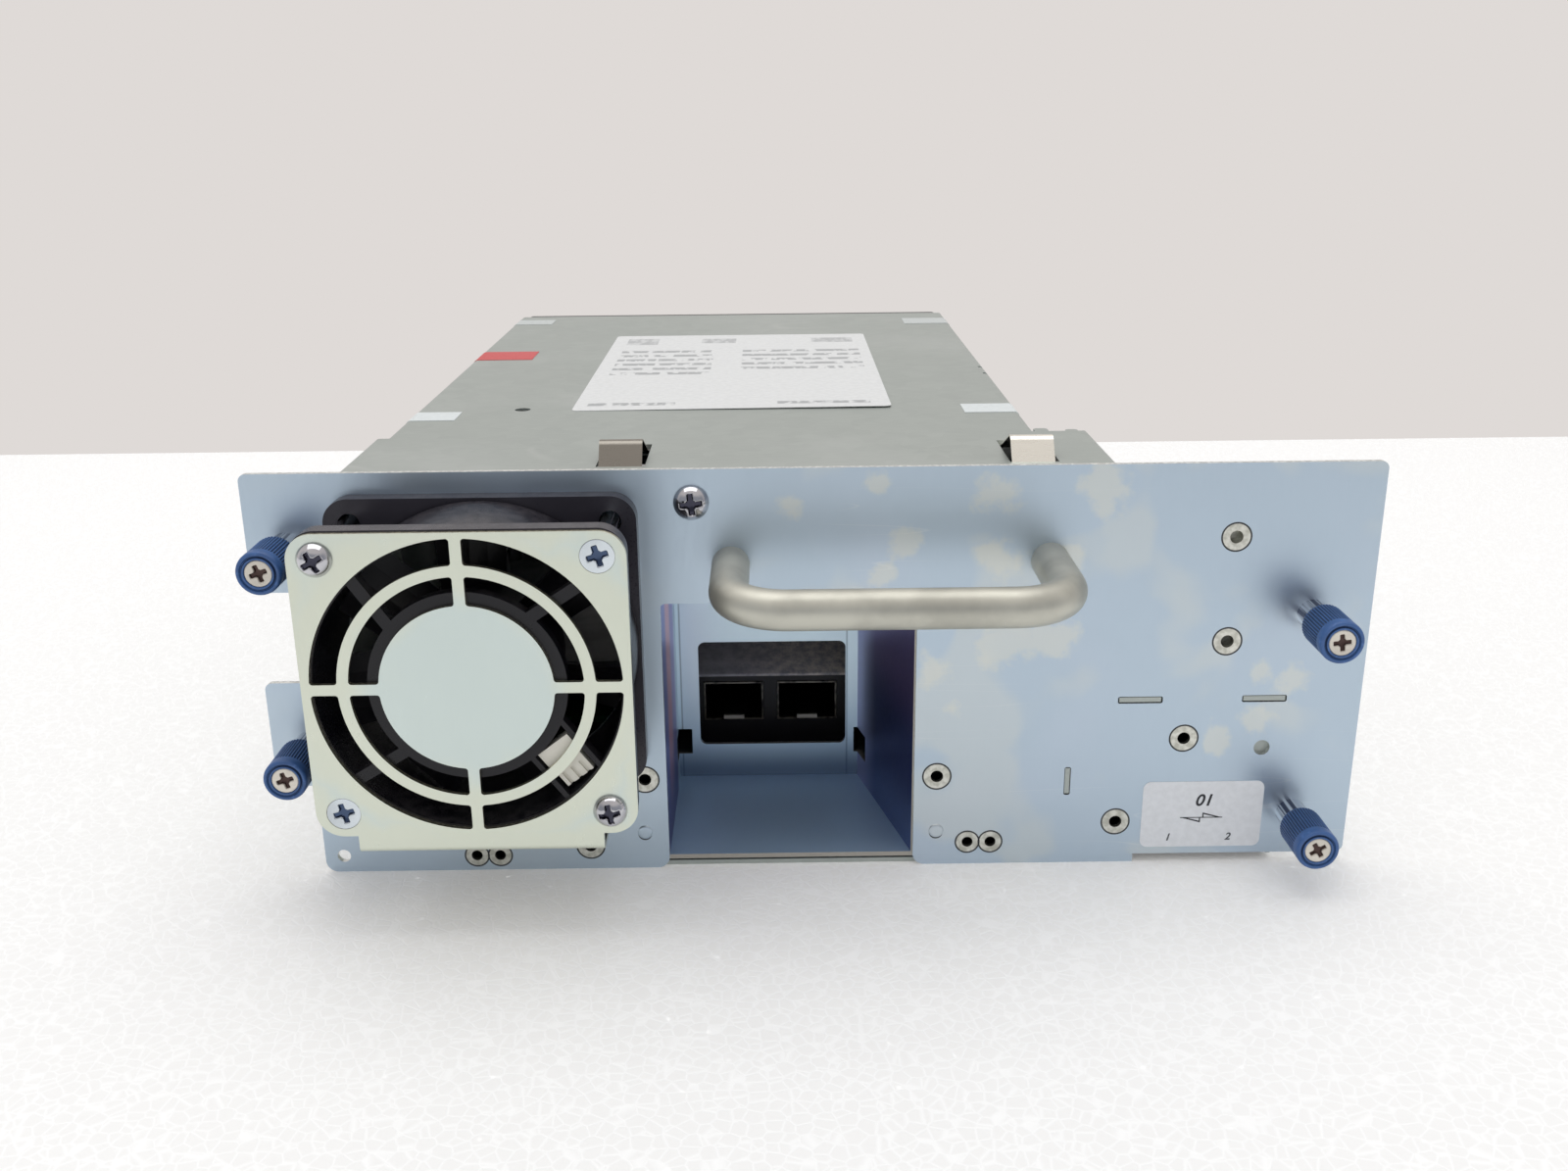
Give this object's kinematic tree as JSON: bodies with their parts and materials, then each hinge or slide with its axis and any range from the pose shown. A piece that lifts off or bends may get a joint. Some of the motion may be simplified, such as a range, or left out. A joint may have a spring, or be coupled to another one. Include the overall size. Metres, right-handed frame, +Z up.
{
  "type": "data tape drive module",
  "caption": "Tape drive sled for a tape library: plated panel with fan, pull handle, captive thumbscrews and a recessed port pocket, and a long drive body behind.",
  "frame": {"origin": "middle of the whole module in plan, at the foot of the panel", "axes": "+X along the panel to the right as seen from outside, +Y from the panel into the library, +Z up"},
  "size_m": [0.2214, 0.279, 0.086],
  "materials": {
    "zinc_panel": "bright blue-passivated zinc plate with faint iridescent clouds",
    "guard_zinc": "pale yellow-green passivated zinc with bright cut edges",
    "cover_steel": "dull galvanised sheet",
    "clip_steel": "bright spring steel",
    "handle_nickel": "satin nickel",
    "fan_plastic": "charcoal moulding",
    "motor_core": "laminated steel",
    "header_white": "white nylon",
    "knob_blue": "blue anodised, knurled",
    "bright_chrome": "bright",
    "screw_steel": "zinc plated",
    "stud_steel": "bright plated",
    "spring_steel": "spring wire",
    "black_moulding": "black moulding",
    "cage_steel": "darkened plated sheet",
    "board_green": "green solder resist",
    "nylon": "natural nylon",
    "cast_alloy": "as-cast alloy",
    "pin_steel": "ground pins",
    "motor_can": "plated cans",
    "reel_plastic": "dark grey moulding",
    "roller_alloy": "turned and polished",
    "head_ceramic": "dark lapped head",
    "carriage_steel": "zinc plated sheet",
    "rail_plastic": "black slide moulding",
    "gear_acetal": "natural acetal",
    "arm_plastic": "filled moulding"
  },
  "bodies": {
    "chassis": {"mounting_panel": "zinc_panel", "port_pocket": "zinc_panel", "fan_guard": "guard_zinc", "top_cover": "cover_steel", "sled_tray": "cover_steel", "docking_bracket": "cover_steel", "earthing_clips": "clip_steel", "pull_handle": "handle_nickel", "fan_frame": "fan_plastic", "fan_stator": "motor_core", "fan_header": "header_white", "fan_plug": "header_white", "screw_ferrules": "bright_chrome", "guard_flat_screws": "screw_steel", "guard_pan_screws": "screw_steel", "panel_screw": "screw_steel", "handle_screws": "screw_steel", "side_screws": "screw_steel", "clinch_studs": "stud_steel", "port_bezel": "black_moulding", "slot_bezel": "black_moulding", "docking_connector": "black_moulding", "port_cages": "cage_steel", "main_board": "board_green", "board_standoffs": "nylon", "deck_casting": "cast_alloy", "head_bridge": "cast_alloy", "deck_posts": "pin_steel", "drive_motors": "motor_can", "head_actuator": "motor_can", "reel_motors": "motor_can", "carriage_rails": "rail_plastic"},
    "fan_impeller": {"fan_rotor": "fan_plastic"},
    "supply_spindle": {"supply_chuck": "reel_plastic"},
    "takeup_reel_body": {"takeup_reel": "reel_plastic"},
    "head_lift_body": {"head_carriage": "cast_alloy", "tape_head": "head_ceramic"},
    "lead_screw_body": {"lead_screw": "pin_steel"},
    "carriage_body": {"cartridge_carriage": "carriage_steel"},
    "loader_gear_body": {"loader_gear": "gear_acetal"},
    "loader_pinion_body": {"loader_pinion": "gear_acetal"},
    "grabber_body": {"grabber_arm": "arm_plastic", "grabber_claw": "arm_plastic"},
    "thread_pinion_body": {"thread_pinion": "gear_acetal"},
    "roller_1_body": {"guide_roller_1": "roller_alloy"},
    "thumbscrew_1_float": {"knob_spring_1": "spring_steel"},
    "thumbscrew_1_turn": {"knob_1": "knob_blue", "captive_screw_1": "screw_steel"},
    "roller_2_body": {"guide_roller_2": "roller_alloy"},
    "thumbscrew_2_float": {"knob_spring_2": "spring_steel"},
    "thumbscrew_2_turn": {"knob_2": "knob_blue", "captive_screw_2": "screw_steel"},
    "roller_3_body": {"guide_roller_3": "roller_alloy"},
    "thumbscrew_3_float": {"knob_spring_3": "spring_steel"},
    "thumbscrew_3_turn": {"knob_3": "knob_blue", "captive_screw_3": "screw_steel"},
    "roller_4_body": {"guide_roller_4": "roller_alloy"},
    "thumbscrew_4_float": {"knob_spring_4": "spring_steel"},
    "thumbscrew_4_turn": {"knob_4": "knob_blue", "captive_screw_4": "screw_steel"}
  },
  "joints": [
    {"name": "fan_spin", "type": "hinge", "parent": "chassis", "child": "fan_impeller", "pos_m": [-0.0643, -0.12047, 0.0518], "axis": [0, 1, 0], "continuous": true},
    {"name": "supply_spin", "type": "hinge", "parent": "chassis", "child": "supply_spindle", "pos_m": [-0.022, 0.08353, 0.03], "axis": [0, 0, 1], "continuous": true},
    {"name": "takeup_spin", "type": "hinge", "parent": "chassis", "child": "takeup_reel_body", "pos_m": [-0.022, -0.01348, 0.03], "axis": [0, 0, 1], "continuous": true},
    {"name": "head_lift", "type": "slide", "parent": "chassis", "child": "head_lift_body", "axis": [0, 0, 1], "range_m": [-0.003, 0.003]},
    {"name": "lead_screw_turn", "type": "hinge", "parent": "chassis", "child": "lead_screw_body", "pos_m": [-0.087, 0.01103, 0.04], "axis": [0, 0, 1], "range_deg": [-361, 361]},
    {"name": "carriage_slide", "type": "slide", "parent": "chassis", "child": "carriage_body", "axis": [0, -1, 0], "range_m": [0, 0.018]},
    {"name": "loader_gear_turn", "type": "hinge", "parent": "chassis", "child": "loader_gear_body", "pos_m": [0.0395, 0.04152, 0.048], "axis": [0, 0, 1], "range_deg": [0, 130]},
    {"name": "loader_pinion_turn", "type": "hinge", "parent": "chassis", "child": "loader_pinion_body", "pos_m": [0.0395, 0.02852, 0.048], "axis": [0, 0, 1], "range_deg": [-208, 0]},
    {"name": "grabber_swing", "type": "hinge", "parent": "chassis", "child": "grabber_body", "pos_m": [0.026, 0.00352, 0.058], "axis": [0, 0, 1], "range_deg": [0, 37]},
    {"name": "thread_pinion_turn", "type": "hinge", "parent": "chassis", "child": "thread_pinion_body", "pos_m": [0.0355, -0.01293, 0.061], "axis": [0, 0, 1], "range_deg": [-105, 0]},
    {"name": "roller_1_spin", "type": "hinge", "parent": "chassis", "child": "roller_1_body", "pos_m": [-0.083, 0.04152, 0.046], "axis": [0, 0, 1], "continuous": true},
    {"name": "roller_2_spin", "type": "hinge", "parent": "chassis", "child": "roller_2_body", "pos_m": [-0.085, 0.02753, 0.046], "axis": [0, 0, 1], "continuous": true},
    {"name": "roller_3_spin", "type": "hinge", "parent": "chassis", "child": "roller_3_body", "pos_m": [-0.085, -0.00647, 0.046], "axis": [0, 0, 1], "continuous": true},
    {"name": "roller_4_spin", "type": "hinge", "parent": "chassis", "child": "roller_4_body", "pos_m": [-0.082, -0.02848, 0.046], "axis": [0, 0, 1], "continuous": true},
    {"name": "thumbscrew_1_press", "type": "slide", "parent": "chassis", "child": "thumbscrew_1_float", "axis": [0, 1, 0], "range_m": [0, 0.004], "stiffness_N_per_m": 300, "springref_m": -0.003, "deforming": ["knob_spring_1"]},
    {"name": "thumbscrew_1_turn", "type": "hinge", "parent": "thumbscrew_1_float", "child": "thumbscrew_1_turn", "pos_m": [-0.1031, -0.11847, 0.0712], "axis": [0, 1, 0], "continuous": true},
    {"name": "thumbscrew_2_press", "type": "slide", "parent": "chassis", "child": "thumbscrew_2_float", "axis": [0, 1, 0], "range_m": [0, 0.004], "stiffness_N_per_m": 300, "springref_m": -0.003, "deforming": ["knob_spring_2"]},
    {"name": "thumbscrew_2_turn", "type": "hinge", "parent": "thumbscrew_2_float", "child": "thumbscrew_2_turn", "pos_m": [-0.1031, -0.11847, 0.0291], "axis": [0, 1, 0], "continuous": true},
    {"name": "thumbscrew_3_press", "type": "slide", "parent": "chassis", "child": "thumbscrew_3_float", "axis": [0, 1, 0], "range_m": [0, 0.004], "stiffness_N_per_m": 300, "springref_m": -0.003, "deforming": ["knob_spring_3"]},
    {"name": "thumbscrew_3_turn", "type": "hinge", "parent": "thumbscrew_3_float", "child": "thumbscrew_3_turn", "pos_m": [0.099, -0.11847, 0.0549], "axis": [0, 1, 0], "continuous": true},
    {"name": "thumbscrew_4_press", "type": "slide", "parent": "chassis", "child": "thumbscrew_4_float", "axis": [0, 1, 0], "range_m": [0, 0.004], "stiffness_N_per_m": 300, "springref_m": -0.003, "deforming": ["knob_spring_4"]},
    {"name": "thumbscrew_4_turn", "type": "hinge", "parent": "thumbscrew_4_float", "child": "thumbscrew_4_turn", "pos_m": [0.099, -0.11847, 0.011], "axis": [0, 1, 0], "continuous": true}
  ],
  "couplings": [
    {"joint": "lead_screw_turn", "follows": "head_lift", "rad_per_m": 2094.4},
    {"joint": "loader_gear_turn", "follows": "carriage_slide", "rad_per_m": 125},
    {"joint": "loader_pinion_turn", "follows": "carriage_slide", "rad_per_m": -200},
    {"joint": "thread_pinion_turn", "follows": "grabber_swing", "ratio": -2.8}
  ]
}
